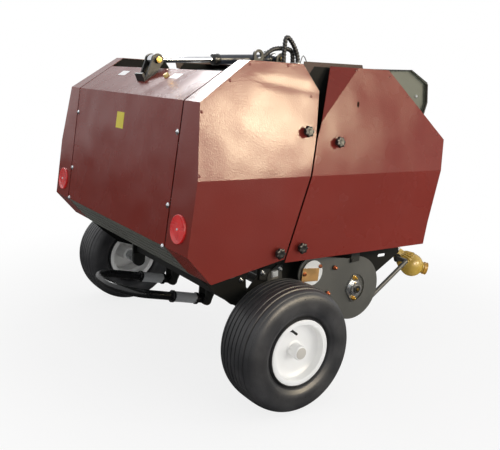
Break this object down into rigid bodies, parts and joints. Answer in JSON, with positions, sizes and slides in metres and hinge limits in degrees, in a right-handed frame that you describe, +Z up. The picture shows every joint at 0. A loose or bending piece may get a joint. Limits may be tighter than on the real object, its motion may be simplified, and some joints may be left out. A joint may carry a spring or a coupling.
{
  "type": "mini round baler",
  "caption": "Towed mini round baler with hydraulic tailgate, pickup reel, twine box, bale ramp and parking stand.",
  "frame": {"origin": "on the ground, at the middle of the footprint of the whole machine", "axes": "+X forward towards the tractor, +Y to the machine's left, +Z up"},
  "size_m": [1.8576, 1.5546, 1.3217],
  "materials": {
    "cylinder_paint": "blue grey enamel",
    "frame_paint": "satin dark grey enamel",
    "guard_yellow": "moulded yellow plastic",
    "hose_rubber": "black rubber with spiral wrap",
    "knob_plastic": "moulded black plastic",
    "maroon_paint": "gloss sprayed enamel",
    "pickup_paint": "satin grey enamel",
    "reflector_red": "moulded red reflector",
    "rim_paint": "white gloss enamel",
    "rod_chrome": "polished chrome",
    "roller_steel": "rolled steel",
    "tube_black": "black enamel",
    "twine_box_paint": "satin grey-green enamel",
    "tyre_rubber": "ribbed black rubber",
    "zinc": "bright zinc plate"
  },
  "bodies": {
    "chassis": {"axle_beam": "frame_paint", "stub_axles": "zinc", "side_plates": "frame_paint", "front_rollers": "roller_steel", "front_bearings": "zinc", "cross_tubes": "frame_paint", "front_shields": "maroon_paint", "front_knobs": "knob_plastic", "front_panel": "maroon_paint", "top_covers": "maroon_paint", "twine_box": "twine_box_paint", "pickup_plates": "pickup_paint", "pickup_bands": "zinc", "reel_bearings": "zinc", "gearbox": "frame_paint", "drawbar": "frame_paint", "jack_sleeve": "frame_paint", "ramp_lugs": "frame_paint", "hoses": "hose_rubber", "hose_fittings": "zinc"},
    "wheel_left": {"tyre_left": "tyre_rubber", "rim_left": "rim_paint"},
    "wheel_right": {"tyre_right": "tyre_rubber", "rim_right": "rim_paint"},
    "tailgate": {"tail_plates": "frame_paint", "tail_shields": "maroon_paint", "tail_rollers": "roller_steel", "tail_bearings": "zinc", "tail_tubes": "frame_paint", "tail_panel": "maroon_paint", "tail_channel": "pickup_paint", "rod_bracket": "frame_paint", "reflectors": "reflector_red", "tail_knobs": "knob_plastic"},
    "barrel": {"cylinder_barrel": "cylinder_paint"},
    "rod": {"cylinder_rod": "rod_chrome"},
    "reel": {"pickup_reel": "frame_paint"},
    "lid": {"twine_lid": "tube_black"},
    "stand": {"jack_leg": "zinc"},
    "drive_guard": {"shaft_guard": "guard_yellow", "inner_shaft": "zinc"},
    "drive_yoke": {"shaft_yoke": "guard_yellow"},
    "ramp": {"ramp_loop": "tube_black"}
  },
  "joints": [
    {"name": "wheel_left_spin", "type": "hinge", "parent": "chassis", "child": "wheel_left", "pos_m": [-0.51317, 0.675, 0.2285], "axis": [0, 1, 0], "continuous": true},
    {"name": "wheel_right_spin", "type": "hinge", "parent": "chassis", "child": "wheel_right", "pos_m": [-0.51317, -0.675, 0.2285], "axis": [0, 1, 0], "continuous": true},
    {"name": "tailgate_lift", "type": "hinge", "parent": "chassis", "child": "tailgate", "pos_m": [-0.32317, 0, 1.1], "axis": [0, 1, 0], "range_deg": [0, 60]},
    {"name": "barrel_swing", "type": "hinge", "parent": "chassis", "child": "barrel", "pos_m": [-0.12517, 0, 1.223], "axis": [0, 1, 0], "range_deg": [0, 43.05]},
    {"name": "rod_slide", "type": "slide", "parent": "barrel", "child": "rod", "axis": [0.9979, 0, 0.0645], "range_m": [0, 0.1801]},
    {"name": "reel_spin", "type": "hinge", "parent": "chassis", "child": "reel", "pos_m": [-0.08117, 0, 0.34], "axis": [0, 1, 0], "continuous": true},
    {"name": "lid_open", "type": "hinge", "parent": "chassis", "child": "lid", "pos_m": [0.06083, 0, 1.2], "axis": [0, -1, 0], "range_deg": [0, 95]},
    {"name": "stand_slide", "type": "slide", "parent": "chassis", "child": "stand", "axis": [0, 0, 1], "range_m": [0, 0.22]},
    {"name": "drive_lift", "type": "hinge", "parent": "chassis", "child": "drive_guard", "pos_m": [0.29283, 0, 0.56], "axis": [-0.8141, -0.5807, 0], "range_deg": [0, 40]},
    {"name": "drive_spin", "type": "hinge", "parent": "drive_guard", "child": "drive_yoke", "pos_m": [0.53415, -0.32857, 0.30106], "axis": [0.7753, -0.5993, -0.1994], "continuous": true},
    {"name": "ramp_tip", "type": "hinge", "parent": "chassis", "child": "ramp", "pos_m": [-0.53317, 0, 0.235], "axis": [0, -1, 0], "range_deg": [0, 10], "stiffness_Nm_per_rad": 40, "springref_deg": -20.05}
  ],
  "couplings": [
    {"joint": "barrel_swing", "follows": "tailgate_lift", "ratio": 0.70912},
    {"joint": "rod_slide", "follows": "tailgate_lift", "m_per_rad": 0.17105}
  ]
}
